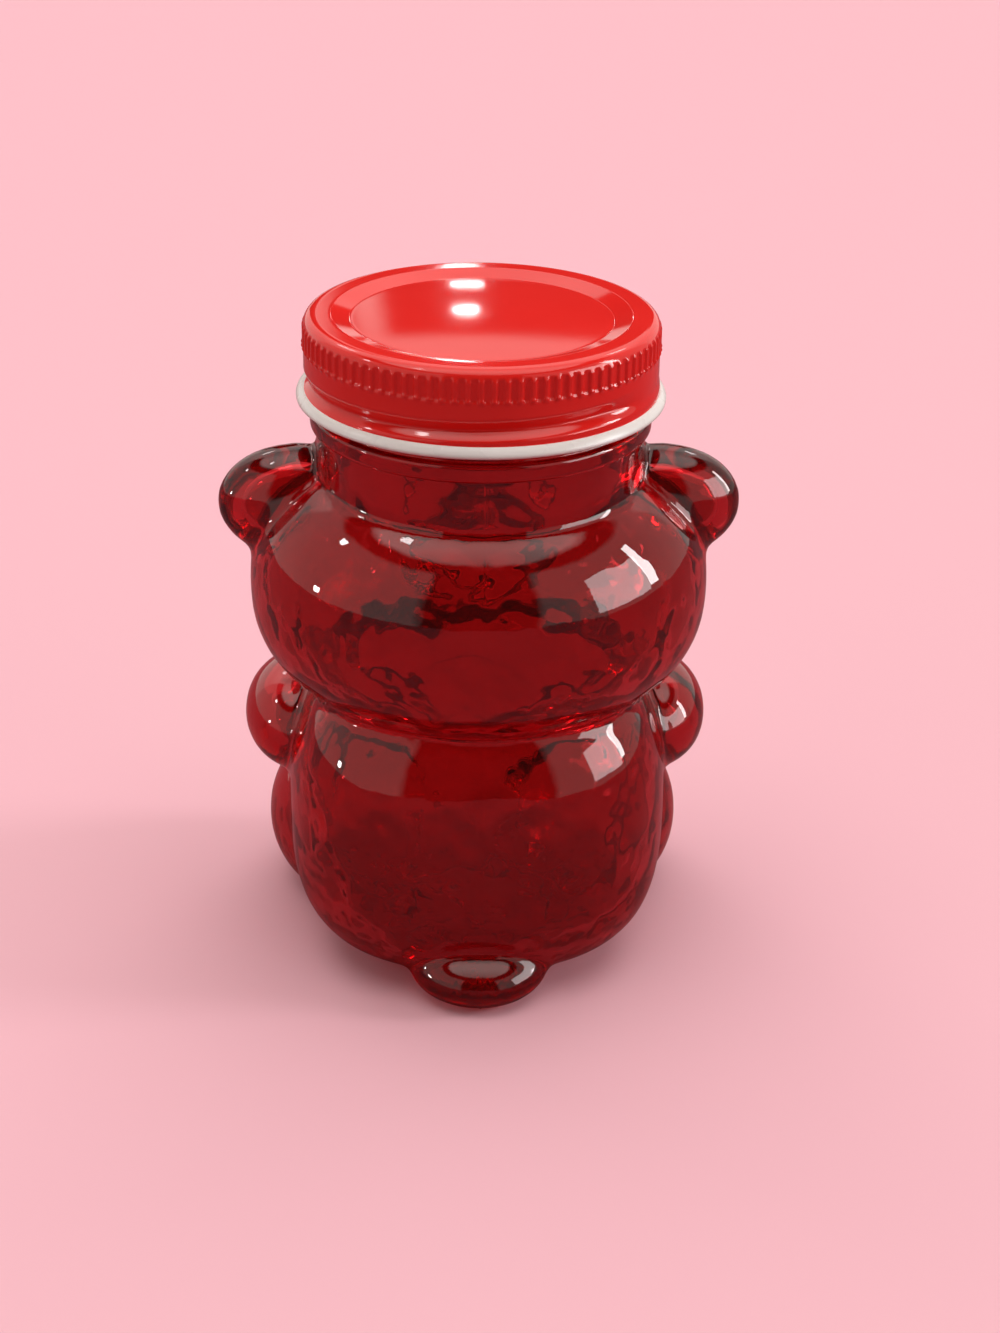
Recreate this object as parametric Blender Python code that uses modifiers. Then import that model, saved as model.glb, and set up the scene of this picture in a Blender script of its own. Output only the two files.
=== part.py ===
"""A glass storage jar in the shape of a sitting bear, with a one-piece screw lid.

Metres, +Z up. The jar stands on z = 0 with its mouth on the Z axis, and the bear faces -Y.
"""

import math

import bmesh
import bpy
from mathutils import Matrix

# Bear, body and head: how far each reaches above and below its centre, and how deep the head sinks in the body
BODY_HALF_WIDTH = 0.0398
BODY_HALF_DEPTH = 0.0385
BODY_CENTRE_Z = 0.0310
BODY_RISE = 0.0375
BODY_DROP = 0.0330
BODY_SQUARENESS = 3.0
BODY_PLAN_SQUARENESS = 2.6
HEAD_HALF_WIDTH = 0.0470
HEAD_BACK_DEPTH = 0.0432
HEAD_FACE_DEPTH = 0.0375
HEAD_SINK = 0.0154
HEAD_RISE = 0.0310
HEAD_DROP = 0.0279
HEAD_SQUARENESS = 2.4

# Bear, lobes: half sizes along X, Y, Z, and how far each centre lies in from the side of the head or the body
EAR_HALF = (0.0165, 0.0088, 0.0122)
EAR_INSET = 0.0101
EAR_LIFT = 0.0171
EAR_DISH_DEPTH = 0.0028
EAR_DISH_RADIUS = 0.0085
ARM_HALF = (0.0120, 0.0170, 0.0120)
ARM_INSET = 0.0022
ARM_FORWARD = 0.0100
ARM_LIFT = 0.0148
LEG_HALF = (0.0200, 0.0245, 0.0200)
LEG_INSET = 0.0144
LEG_FORWARD = 0.0200
LEG_CENTRE_Z = 0.0160
TUMMY_HALF = (0.0270, 0.0230, 0.0230)
TUMMY_INSET = 0.0200
TUMMY_DROP = 0.0010
TAIL_HALF = (0.0148, 0.0142, 0.0075)
TAIL_INSET = 0.0103
TAIL_CENTRE_Z = 0.0055

# Bear, face
MUZZLE_HALF = (0.0165, 0.0083, 0.0122)
MUZZLE_SINK = 0.0020
MUZZLE_DROP = 0.0075
NOSE_HALF = (0.0050, 0.0030, 0.0034)
NOSE_LIFT = 0.0050
NOSE_REACH = 0.80
EYE_HALF = (0.0030, 0.0022, 0.0034)
EYE_SPREAD = 0.0150
EYE_LIFT = 0.0070

# Glass
WALL = 0.0038
LOBE_WALL = 0.0050
FLOOR_THICKNESS = 0.0055
PUSH_UP_RADIUS = 0.0160
PUSH_UP_DEPTH = 0.0012

# Finish: the threaded mouth that the lid screws on, standing on the head
FINISH_HEIGHT = 0.0240
MOUTH_RADIUS = 0.0302
FINISH_RADIUS = 0.0330
LIP_ROUNDING = 0.0010
BEAD_REACH = 0.0012
BEAD_HEIGHT = 0.0042

# Screw lid, pressed from one sheet, and its clearances round the finish, in the mouth and over the bead
SHEET = 0.0004
SKIRT_CLEARANCE = 0.0019
STEP_CLEARANCE = 0.0006
BEAD_CLEARANCE = 0.0020
LID_SKIRT = 0.0158
LID_CORNER = 0.0018
STEP_WIDTH = 0.0038
PANEL_DROP = 0.0020
PANEL_CROWN = 0.0006
CURL_RADIUS = 0.0010
KNURL_COUNT = 90
KNURL_WIDTH = 0.0013
KNURL_HEIGHT = 0.0044
KNURL_DEPTH = 0.00035
KNURL_DROP = 0.0040
GROOVE_DEPTH = 0.0008
GROOVE_DROP = 0.0101
GROOVE_HALF_HEIGHT = 0.0013

# Sealing ring, cast inside the top of the lid
SEAL_THICKNESS = 0.0010
SEAL_GAP = 0.0003
SEAL_OVERLAP = 0.0004

# Facets and moulding radii
VOXEL = 0.0012
BLEND_PASSES = 14
OUTSIDE_FACETS = 4200
CAVITY_FACETS = 1750
FINISH_STEPS = 48
LID_STEPS = 90
TURNED_STEPS = 64
SPHERE_SEGMENTS = 32
SPHERE_RINGS = 20
MERGE = 0.00001


def clear_scene():
    for old in list(bpy.data.objects):
        bpy.data.objects.remove(old, do_unlink=True)


def make_collection(name):
    collection = bpy.data.collections.new(name)
    bpy.context.scene.collection.children.link(collection)
    return collection


def principled(name, colour, roughness, metallic=0.0, transmission=0.0):
    material = bpy.data.materials.new(name)
    material.use_nodes = True
    shader = material.node_tree.nodes["Principled BSDF"]
    shader.inputs["Base Color"].default_value = (*colour, 1.0)
    shader.inputs["Roughness"].default_value = roughness
    shader.inputs["Metallic"].default_value = metallic
    shader.inputs["Transmission Weight"].default_value = transmission
    return material


def mesh_object(name, collection, mesh):
    made = bpy.data.objects.new(name, mesh)
    collection.objects.link(made)
    return made


def as_cutter(cutter):
    cutter.hide_render = True
    cutter.display_type = "WIRE"
    return cutter


def turned_mesh(name, profile, steps, closed):
    """A body of revolution about Z, from a profile of (radius, height) points that runs down its outside."""
    mesh = bpy.data.meshes.new(name)
    count = len(profile)
    edges = [(i, i + 1) for i in range(count - 1)]
    if closed:
        edges.append((count - 1, 0))
    mesh.from_pydata([(radius, 0.0, height) for radius, height in profile], edges, [])
    turned = bpy.data.objects.new(name, mesh)
    bpy.context.scene.collection.objects.link(turned)
    screw = turned.modifiers.new("turn", "SCREW")
    screw.axis = "Z"
    screw.steps = steps
    screw.render_steps = steps
    screw.use_merge_vertices = True
    screw.merge_threshold = MERGE
    graph = bpy.context.evaluated_depsgraph_get()
    result = bpy.data.meshes.new_from_object(turned.evaluated_get(graph))
    result.name = name
    bpy.data.objects.remove(turned, do_unlink=True)
    return result


def squared_profile(radius, rise, drop, centre_z, squareness, steps=24):
    """Half of a squared oval from its top to its bottom, as (radius, height) points."""
    points = [(0.0, centre_z + rise)]
    for i in range(1, steps):
        angle = math.pi * i / steps
        across = math.sin(angle) ** (2 / squareness)
        along = abs(math.cos(angle)) ** (2 / squareness)
        height = rise * along if angle < math.pi / 2 else -drop * along
        points.append((radius * across, centre_z + height))
    points.append((0.0, centre_z - drop))
    return points


def head_centre_z():
    return BODY_CENTRE_Z + BODY_RISE - HEAD_SINK + HEAD_DROP


def muzzle_z():
    return head_centre_z() - MUZZLE_DROP


def jar_height():
    """The height of the glass lip."""
    return head_centre_z() + HEAD_RISE + FINISH_HEIGHT


def ear_centre():
    return (HEAD_HALF_WIDTH - EAR_INSET, 0.0, head_centre_z() + EAR_LIFT)


def head_share_at(height):
    """The head's width at a height, as a share of its full width."""
    reach = HEAD_RISE if height > head_centre_z() else HEAD_DROP
    share = min(1.0, abs(height - head_centre_z()) / reach)
    return (1 - share**HEAD_SQUARENESS) ** (1 / HEAD_SQUARENESS)


def face_y(x, z):
    """Where the front of the head lies, at a place seen from the front."""
    share = head_share_at(z)
    across = min(1.0, abs(x) / (HEAD_HALF_WIDTH * share))
    return -HEAD_FACE_DEPTH * share * math.sqrt(1 - across**2)


def lobes():
    """The bear's lobes as (centre, half sizes): the single ones, and then each paired one on both sides."""
    muzzle_y = face_y(0.0, muzzle_z()) + MUZZLE_SINK
    paired = [
        (ear_centre(), EAR_HALF),
        ((BODY_HALF_WIDTH - ARM_INSET, -ARM_FORWARD, BODY_CENTRE_Z + ARM_LIFT), ARM_HALF),
        ((BODY_HALF_WIDTH - LEG_INSET, -LEG_FORWARD, LEG_CENTRE_Z), LEG_HALF),
    ]
    found = [
        ((0.0, BODY_HALF_DEPTH - TAIL_INSET, TAIL_CENTRE_Z), TAIL_HALF),
        ((0.0, muzzle_y, muzzle_z()), MUZZLE_HALF),
        ((0.0, TUMMY_INSET - BODY_HALF_DEPTH, BODY_CENTRE_Z - TUMMY_DROP), TUMMY_HALF),
    ]
    for (x, y, z), half in paired:
        found.append(((x, y, z), half))
        found.append(((-x, y, z), half))
    return found


def face_details():
    """The nose and the two eyes, as (centre, half sizes)."""
    nose_z = muzzle_z() + NOSE_LIFT
    nose_y = face_y(0.0, muzzle_z()) + MUZZLE_SINK - MUZZLE_HALF[1] * NOSE_REACH
    eye_z = head_centre_z() + EYE_LIFT
    eye_y = face_y(EYE_SPREAD, eye_z)
    return [
        ((0.0, nose_y, nose_z), NOSE_HALF),
        ((EYE_SPREAD, eye_y, eye_z), EYE_HALF),
        ((-EYE_SPREAD, eye_y, eye_z), EYE_HALF),
    ]


def lid_height():
    """The top face of the lid when it is screwed down on its ring."""
    return jar_height() + SEAL_GAP + SEAL_THICKNESS + SEAL_GAP + SHEET


def lid_radius():
    """The outside of the skirt, which passes over the finish with its clearance."""
    return FINISH_RADIUS + SKIRT_CLEARANCE + SHEET


def bead_top():
    """The height of the bead, under the edge of the lid."""
    return lid_height() - LID_SKIRT - CURL_RADIUS - BEAD_CLEARANCE


def bead_low():
    return bead_top() - BEAD_HEIGHT


def neck_foot():
    """The height down to which the neck stands in the head."""
    return head_centre_z() + HEAD_RISE / 2


def throat():
    """The radius inside the neck."""
    return FINISH_RADIUS - WALL


def make_mesh(form, name):
    mesh = bpy.data.meshes.new(name)
    form.to_mesh(mesh)
    form.free()
    return mesh


def add_ellipsoid(form, centre, half, segments=SPHERE_SEGMENTS, rings=SPHERE_RINGS):
    place = Matrix.Translation(centre) @ Matrix.Diagonal((*half, 1.0))
    made = bmesh.ops.create_uvsphere(form, u_segments=segments, v_segments=rings, radius=1.0, matrix=place)
    return made["verts"]


def dish_ears(ear_points):
    """Presses a shallow dish into the front of each ear."""
    centre = ear_centre()
    for point in ear_points:
        x = abs(point.co.x) - centre[0]
        z = point.co.z - centre[2]
        if point.co.y < centre[1]:
            point.co.y += EAR_DISH_DEPTH * math.exp(-(x**2 + z**2) / EAR_DISH_RADIUS**2)


def add_turned(form, profile, half_width, back_depth, front_depth, plan_squareness=2.0):
    """A turned body, squared a little as seen from above, then drawn in along Y to its own depths."""
    part = turned_mesh("turned_part", profile, TURNED_STEPS, closed=False)
    for point in part.vertices:
        angle = math.atan2(point.co.y, point.co.x)
        power = abs(math.cos(angle)) ** plan_squareness + abs(math.sin(angle)) ** plan_squareness
        depth = back_depth if point.co.y > 0 else front_depth
        point.co.x *= power ** (-1 / plan_squareness)
        point.co.y *= power ** (-1 / plan_squareness) * depth / half_width
    form.from_mesh(part)
    bpy.data.meshes.remove(part)


def moulded(name, collection, wall, lobe_wall, facets):
    """The bear as one moulded form, taken in by a wall: its pieces run into each other with soft blends."""
    form = bmesh.new()
    width = BODY_HALF_WIDTH - wall
    depth = BODY_HALF_DEPTH - wall
    body = squared_profile(width, BODY_RISE - wall, BODY_DROP - wall, BODY_CENTRE_Z, BODY_SQUARENESS)
    add_turned(form, body, width, depth, depth, BODY_PLAN_SQUARENESS)
    width = HEAD_HALF_WIDTH - wall
    head = squared_profile(width, HEAD_RISE - wall, HEAD_DROP - wall, head_centre_z(), HEAD_SQUARENESS)
    add_turned(form, head, width, HEAD_BACK_DEPTH - wall, HEAD_FACE_DEPTH - wall)
    for centre, half in lobes():
        points = add_ellipsoid(form, centre, [side - lobe_wall for side in half])
        if half is EAR_HALF and lobe_wall == 0:
            dish_ears(points)
    made = mesh_object(name, collection, make_mesh(form, name))
    remesh = made.modifiers.new("one skin", "REMESH")
    remesh.mode = "VOXEL"
    remesh.voxel_size = VOXEL
    smooth = made.modifiers.new("moulded blends", "SMOOTH")
    smooth.factor = 0.5
    smooth.iterations = BLEND_PASSES
    graph = bpy.context.evaluated_depsgraph_get()
    faces = len(made.evaluated_get(graph).data.polygons)
    thin = made.modifiers.new("facets", "DECIMATE")
    thin.decimate_type = "COLLAPSE"
    thin.ratio = facets / (2 * faces)
    return made


def boolean(target, cutter, operation):
    cut = target.modifiers.new(f"{operation.lower()} {cutter.name}", "BOOLEAN")
    cut.operation = operation
    cut.solver = "EXACT"
    cut.object = cutter


def arc(centre, radius, start, end, steps):
    """Points of an arc in the profile plane, its angles in degrees."""
    points = []
    for i in range(steps + 1):
        angle = math.radians(start + (end - start) * i / steps)
        points.append((centre[0] + radius * math.cos(angle), centre[1] + radius * math.sin(angle)))
    return points


def finish_profile():
    """The outside of the mouth, from the lip down over the bead and the neck into the head."""
    top = bead_top()
    low = bead_low()
    reach = FINISH_RADIUS + BEAD_REACH
    lip = arc((FINISH_RADIUS - LIP_ROUNDING, jar_height() - LIP_ROUNDING), LIP_ROUNDING, 90, 0, 3)
    return [
        (0.0, jar_height()),
        *lip,
        (FINISH_RADIUS, top),
        (reach - BEAD_REACH * 0.3, top - BEAD_REACH * 0.7),
        (reach, top - BEAD_REACH * 1.6),
        (reach, low + BEAD_REACH * 1.3),
        (reach - BEAD_REACH * 0.4, low + BEAD_REACH * 0.4),
        (FINISH_RADIUS, low),
        (FINISH_RADIUS, neck_foot()),
        (0.0, neck_foot()),
    ]


def bore_profile():
    """The cutter of the mouth, from above the lip down into the cavity of the head."""
    inner_lip = LIP_ROUNDING * 0.6
    lip = jar_height()
    return [
        (0.0, lip + WALL),
        (MOUTH_RADIUS + inner_lip, lip + WALL),
        (MOUTH_RADIUS + inner_lip, lip),
        (MOUTH_RADIUS, lip - inner_lip),
        (throat(), bead_low()),
        (throat(), neck_foot() + WALL),
        (throat() - WALL, neck_foot()),
        (0.0, neck_foot()),
    ]


def push_up_profile():
    """The cutter of the shallow hollow under the base."""
    return [
        (0.0, PUSH_UP_DEPTH),
        (PUSH_UP_RADIUS - PUSH_UP_DEPTH, PUSH_UP_DEPTH),
        (PUSH_UP_RADIUS, 0.0),
        (PUSH_UP_RADIUS, -WALL),
        (0.0, -WALL),
    ]


def slab(name, collection, low, high):
    """A wide box between two heights, which trims what lies there."""
    reach = 4 * HEAD_HALF_WIDTH
    form = bmesh.new()
    place = Matrix.Translation((0, 0, (low + high) / 2)) @ Matrix.Diagonal((reach, reach, high - low, 1.0))
    bmesh.ops.create_cube(form, size=1.0, matrix=place)
    return as_cutter(mesh_object(name, collection, make_mesh(form, name)))


def turned_cutter(name, collection, profile):
    mesh = turned_mesh(name, profile, FINISH_STEPS, closed=False)
    return as_cutter(mesh_object(name, collection, mesh))


def make_face(collection):
    form = bmesh.new()
    for centre, half in face_details():
        add_ellipsoid(form, centre, half, SPHERE_SEGMENTS // 2, SPHERE_RINGS // 2)
    return as_cutter(mesh_object("face", collection, make_mesh(form, "face")))


def make_jar(parts, cutters):
    jar = moulded("glass_jar", parts, 0.0, 0.0, OUTSIDE_FACETS)
    cavity = as_cutter(moulded("cavity", cutters, WALL, LOBE_WALL, CAVITY_FACETS))
    boolean(cavity, slab("below_inside", cutters, -BODY_DROP, FLOOR_THICKNESS), "DIFFERENCE")
    boolean(jar, make_face(cutters), "UNION")
    boolean(jar, turned_cutter("finish", cutters, finish_profile()), "UNION")
    boolean(jar, slab("below_floor", cutters, -BODY_DROP, 0.0), "DIFFERENCE")
    boolean(jar, turned_cutter("push_up", cutters, push_up_profile()), "DIFFERENCE")
    boolean(jar, cavity, "DIFFERENCE")
    boolean(jar, turned_cutter("bore", cutters, bore_profile()), "DIFFERENCE")
    jar.data.materials.append(principled("ruby_glass", (0.33, 0.006, 0.010), 0.03, transmission=1.0))
    return jar


def lid_profile():
    """The section of the pressed lid: down its outside, round the curl and back up its inside."""
    top = lid_height()
    edge = top - LID_SKIRT
    groove = top - GROOVE_DROP
    panel = top - PANEL_DROP
    outside = lid_radius()
    inside = outside - SHEET
    step = MOUTH_RADIUS - STEP_CLEARANCE
    panel_radius = step - STEP_WIDTH
    curl = (inside + CURL_RADIUS, edge)
    outer = [
        (0.0, panel + PANEL_CROWN),
        (panel_radius * 0.6, panel + PANEL_CROWN * 0.64),
        (panel_radius, panel),
        (step, top),
        *arc((outside - LID_CORNER, top - LID_CORNER), LID_CORNER, 90, 0, 3),
        (outside, groove + GROOVE_HALF_HEIGHT),
        (outside - GROOVE_DEPTH, groove),
        (outside, groove - GROOVE_HALF_HEIGHT),
        (outside, edge + CURL_RADIUS),
    ]
    rolled = arc(curl, CURL_RADIUS, 60, -180, 5)
    corner = LID_CORNER - SHEET
    inner = [
        (inside, groove - GROOVE_HALF_HEIGHT - SHEET * 0.3),
        (inside - GROOVE_DEPTH, groove),
        (inside, groove + GROOVE_HALF_HEIGHT + SHEET * 0.3),
        *arc((inside - corner, top - SHEET - corner), corner, 0, 90, 2),
        (step + SHEET * 0.5, top - SHEET),
        (panel_radius + SHEET * 0.5, panel - SHEET),
        (0.0, panel + PANEL_CROWN - SHEET),
    ]
    return outer + rolled + inner


def knurl_mesh():
    """One upright rib of the grip band, with its back sunk in the sheet, as seen at angle 0."""
    form = bmesh.new()
    place = Matrix.Diagonal((2 * (KNURL_DEPTH + SHEET / 2), KNURL_WIDTH, KNURL_HEIGHT, 1.0))
    bmesh.ops.create_cube(form, size=1.0, matrix=place)
    for corner in form.verts:
        if corner.co.x > 0:
            corner.co.y *= 0.35
            corner.co.z *= 0.84
        else:
            corner.co.x = -SHEET / 2
    return make_mesh(form, "knurl")


def make_lid(parts, cutters):
    lid = mesh_object("lid_shell", parts, turned_mesh("lid_shell", lid_profile(), LID_STEPS, closed=False))
    form = bmesh.new()
    knurl = knurl_mesh()
    facet_reach = lid_radius() * math.cos(math.pi / LID_STEPS)
    height = lid_height() - KNURL_DROP
    for i in range(KNURL_COUNT):
        turn = Matrix.Rotation(2 * math.pi * (i + 0.5) / KNURL_COUNT, 4, "Z")
        before = len(form.verts)
        form.from_mesh(knurl)
        form.verts.ensure_lookup_table()
        place = turn @ Matrix.Translation((facet_reach, 0, height))
        bmesh.ops.transform(form, matrix=place, verts=form.verts[before:])
    bpy.data.meshes.remove(knurl)
    knurls = as_cutter(mesh_object("knurls", cutters, make_mesh(form, "knurls")))
    boolean(lid, knurls, "UNION")
    lid.data.materials.append(principled("lid_enamel", (0.80, 0.018, 0.020), 0.22))
    return lid


def make_seal(parts):
    """The ring that the lip presses on, between the corner of the lid and its panel step."""
    top = lid_height() - SHEET - SEAL_GAP
    low = top - SEAL_THICKNESS
    inner = MOUTH_RADIUS + LIP_ROUNDING * 0.6 - SEAL_OVERLAP
    outer = FINISH_RADIUS + SEAL_OVERLAP
    bevel = SEAL_THICKNESS * 0.25
    profile = [
        (inner + bevel, top),
        (outer - bevel, top),
        (outer, top - bevel),
        (outer, low),
        (inner, low),
        (inner, top - bevel),
    ]
    seal = mesh_object("lid_seal", parts, turned_mesh("lid_seal", profile, FINISH_STEPS, closed=True))
    seal.data.materials.append(principled("seal_compound", (0.80, 0.79, 0.74), 0.55))
    return seal


def shade(made, angle):
    made.data.shade_smooth()
    made.data.set_sharp_from_angle(angle=math.radians(angle))


def main():
    clear_scene()
    parts = make_collection("bear_jar")
    cutters = make_collection("cutters")
    cutters.hide_render = True
    shade(make_jar(parts, cutters), 40)
    shade(make_lid(parts, cutters), 30)
    shade(make_seal(parts), 30)


main()
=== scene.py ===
"""The looks of a ruby glass storage jar in the shape of a sitting bear, with its red screw lid.

Metres, +Z up. The jar stands on z = 0 with its mouth on the Z axis, and the bear faces -Y.
"""

import math

import bmesh
import bpy
import numpy as np
from mathutils import Matrix, Quaternion, Vector


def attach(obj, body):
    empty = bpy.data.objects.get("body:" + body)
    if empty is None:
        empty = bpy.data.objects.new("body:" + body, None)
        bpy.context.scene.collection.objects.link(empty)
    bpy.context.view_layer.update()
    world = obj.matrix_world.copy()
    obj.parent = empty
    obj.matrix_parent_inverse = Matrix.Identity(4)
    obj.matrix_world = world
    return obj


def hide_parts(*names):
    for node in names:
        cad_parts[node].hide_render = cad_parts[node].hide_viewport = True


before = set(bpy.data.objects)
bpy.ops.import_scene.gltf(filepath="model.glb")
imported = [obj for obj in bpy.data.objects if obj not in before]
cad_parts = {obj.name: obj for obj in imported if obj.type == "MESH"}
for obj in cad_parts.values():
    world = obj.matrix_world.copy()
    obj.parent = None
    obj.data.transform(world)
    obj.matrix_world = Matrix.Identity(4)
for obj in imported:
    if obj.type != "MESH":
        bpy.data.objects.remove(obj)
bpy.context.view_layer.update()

# Bear, body and head
BODY_HALF_WIDTH = 0.0398
BODY_HALF_DEPTH = 0.0385
BODY_CENTRE_Z = 0.0310
BODY_RISE = 0.0375
BODY_DROP = 0.0330
BODY_SQUARENESS = 3.0
BODY_PLAN_SQUARENESS = 2.6
HEAD_HALF_WIDTH = 0.0470
HEAD_BACK_DEPTH = 0.0432
HEAD_FACE_DEPTH = 0.0375
HEAD_CENTRE_Z = 0.0810
HEAD_RISE = 0.0310
HEAD_DROP = 0.0279
HEAD_SQUARENESS = 2.4

# Bear, lobes: half sizes along X, Y, Z, and the place of each centre
EAR_HALF = (0.0165, 0.0088, 0.0122)
EAR_CENTRE = (0.0369, 0.0, 0.0981)
EAR_DISH_DEPTH = 0.0028
EAR_DISH_RADIUS = 0.0085
ARM_HALF = (0.0120, 0.0170, 0.0120)
ARM_CENTRE = (0.0376, -0.0100, 0.0458)
LEG_HALF = (0.0200, 0.0245, 0.0200)
LEG_CENTRE = (0.0254, -0.0200, 0.0160)
TUMMY_HALF = (0.0270, 0.0230, 0.0230)
TUMMY_CENTRE = (0.0, -0.0185, 0.0300)
TAIL_HALF = (0.0148, 0.0142, 0.0075)
TAIL_CENTRE = (0.0, 0.0282, 0.0055)

# Bear, face
MUZZLE_HALF = (0.0165, 0.0083, 0.0122)
MUZZLE_SINK = 0.0020
MUZZLE_CENTRE_Z = 0.0735
NOSE_HALF = (0.0050, 0.0030, 0.0034)
NOSE_LIFT = 0.0050
NOSE_REACH = 0.80
EYE_HALF = (0.0030, 0.0022, 0.0034)
EYE_SPREAD = 0.0150
EYE_LIFT = 0.0070

# Glass
WALL = 0.0038
LOBE_WALL = 0.0050
FLOOR_THICKNESS = 0.0055
PUSH_UP_RADIUS = 0.0160
PUSH_UP_DEPTH = 0.0012
SEAM_HALF_WIDTH = 0.00045
SEAM_HEIGHT = 0.00013
STIPPLE_COUNT = 60
STIPPLE_RADIUS = 0.0188
STIPPLE_LENGTH = 0.0026
STIPPLE_DEPTH = 0.00045
BASE_OVERSHOOT = 0.0004

# The crease at the foot of the neck: the heights and the reach it spans, and how sharp it stays
NECK_CREASE_LOW = 0.0950
NECK_CREASE_TOP = 0.1130
NECK_CREASE_REACH = 0.0400
NECK_CREASE_FADE = 0.0030
NECK_CREASE_TOP_FADE = 0.0020
NECK_CREASE_KEPT = 0.85

# Waves of the glass: how long and how high
OUTER_WAVES = (0.0120, 0.00018)
INNER_SWELLS = (0.0110, 0.0014)
INNER_WAVES = (0.0040, 0.0004)
CHILL_MARKS = (0.0045, 0.0022)
WAVES_FADE_BELOW_BEAD = 0.0060
WAVES_FADE_ABOVE_BEAD = 0.0020
CHILL_HEIGHT = 0.0170

# Rings of short dents round the floor of the hollow: radius and number of each, and a dent's half sizes
CHILL_RINGS = ((0.0195, 17), (0.0222, 21), (0.0250, 24))
CHILL_DENT = (0.0016, 0.00055, 0.00045)
CHILL_WANDER = 0.0006

# Finish and its thread: one right-hand ridge
JAR_HEIGHT = 0.1360
MOUTH_RADIUS = 0.0302
FINISH_RADIUS = 0.0330
LIP_ROUNDING = 0.0010
INNER_LIP_ROUNDING = 0.0006
BEAD_REACH = 0.0012
BEAD_HEIGHT = 0.0042
BEAD_BELOW_LID = 0.0020
BEAD_FILLET = 0.0006
THREAD_LEAD = 0.00508
THREAD_TURNS = 1.8
THREAD_LOW = 0.1223
THREAD_HEIGHT = 0.0011
THREAD_HALF_WIDTH = 0.0009
THREAD_START = math.radians(20)
THREAD_RUN_OUT = math.radians(25)

# Lid
LID_TOP = 0.1380
LID_RADIUS = 0.0353
SHEET = 0.0004
LID_SKIRT = 0.0158
LID_CORNER = 0.0023
PANEL_RADIUS = 0.0258
STEP_RADIUS = 0.0296
PANEL_DROP = 0.0011
PANEL_CROWN = 0.0006
PANEL_FILLET = 0.0008
PANEL_MARGIN = 0.0002
STEP_ROUNDING = 0.0010
STEP_MARGIN = 0.0003
CURL_RADIUS = 0.0010
# The rolled edge, from the skirt round to its inside: distances out from the skirt and up from its rim
CURL_SECTION = (
    (0.00045, 0.00100),
    (0.00080, 0.00070),
    (0.00115, 0.00032),
    (0.00145, -0.00010),
    (0.00160, -0.00050),
    (0.00155, -0.00085),
    (0.00125, -0.00110),
    (0.00070, -0.00120),
    (0.00010, -0.00110),
    (-0.00030, -0.00080),
    (-0.00040, -0.00030),
    (-0.00040, 0.00040),
)
KNURL_COUNT = 90
KNURL_TOP = 0.0019
KNURL_BOTTOM = 0.0062
KNURL_TOP_FADE = 0.0004
KNURL_BOTTOM_FADE = 0.0003
KNURL_RISE = 0.00045
KNURL_MEAN = 0.55
KNURL_BEAD = 0.00025
KNURL_BEAD_SPREAD = 0.00050
RIM_FLARE = 0.00025
RIM_FLARE_HIGH = 0.0040
RIM_FLARE_LOW = 0.0018
GROOVE_DEPTH = 0.0015
GROOVE_ABOVE = 0.0027
GROOVE_BELOW = 0.0018
GROOVE_LOW = 0.1230
GROOVE_START = math.radians(250)
GROOVE_END = math.radians(511)

# Sealing ring
SEAL_INNER = 0.0304
SEAL_OUTER = 0.0334
SEAL_LOW = 0.1363
SEAL_TOP = 0.1373
SEAL_EDGE = 0.00025

# Fineness of the surfaces
SKIN_VOXEL = 0.0008
SKIN_PASSES = 32
AROUND = 288
LID_AROUND = KNURL_COUNT * 12
PANEL_ROWS = 24
LID_STEP = 0.0006
SKIRT_STEP = 0.00022
FINISH_STEP = 0.00025
BORE_STEP = 0.0012
BASE_STEP = 0.0004

# From how many degrees between two faces their edge is shown sharp
JAR_SHARP = 50
LID_SHARP = 60
SEAL_SHARP = 40

# How many surfaces of the glass a path of light may meet
LIGHT_PATH = 24

# Camera
CAMERA_DISTANCE = 0.4966
CAMERA_ELEVATION = math.radians(17.9)
CAMERA_TURN = math.radians(2.1)
CAMERA_ROLL = math.radians(0.98)
CAMERA_AIM = (-0.0047, 0.0002, 0.0605)
LENS_MM = 67.5
SENSOR_MM = 36.0


def link(name, mesh):
    made = bpy.data.objects.new(name, mesh)
    bpy.context.scene.collection.objects.link(made)
    return made


def evaluated_mesh(made):
    graph = bpy.context.evaluated_depsgraph_get()
    return bpy.data.meshes.new_from_object(made.evaluated_get(graph))


def settle(made):
    """Applies an object's modifiers."""
    old = made.data
    mesh = evaluated_mesh(made)
    made.modifiers.clear()
    made.data = mesh
    bpy.data.meshes.remove(old)


def smoothstep(low, high, value):
    share = np.clip((value - low) / (high - low), 0.0, 1.0)
    return share * share * (3 - 2 * share)


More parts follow.
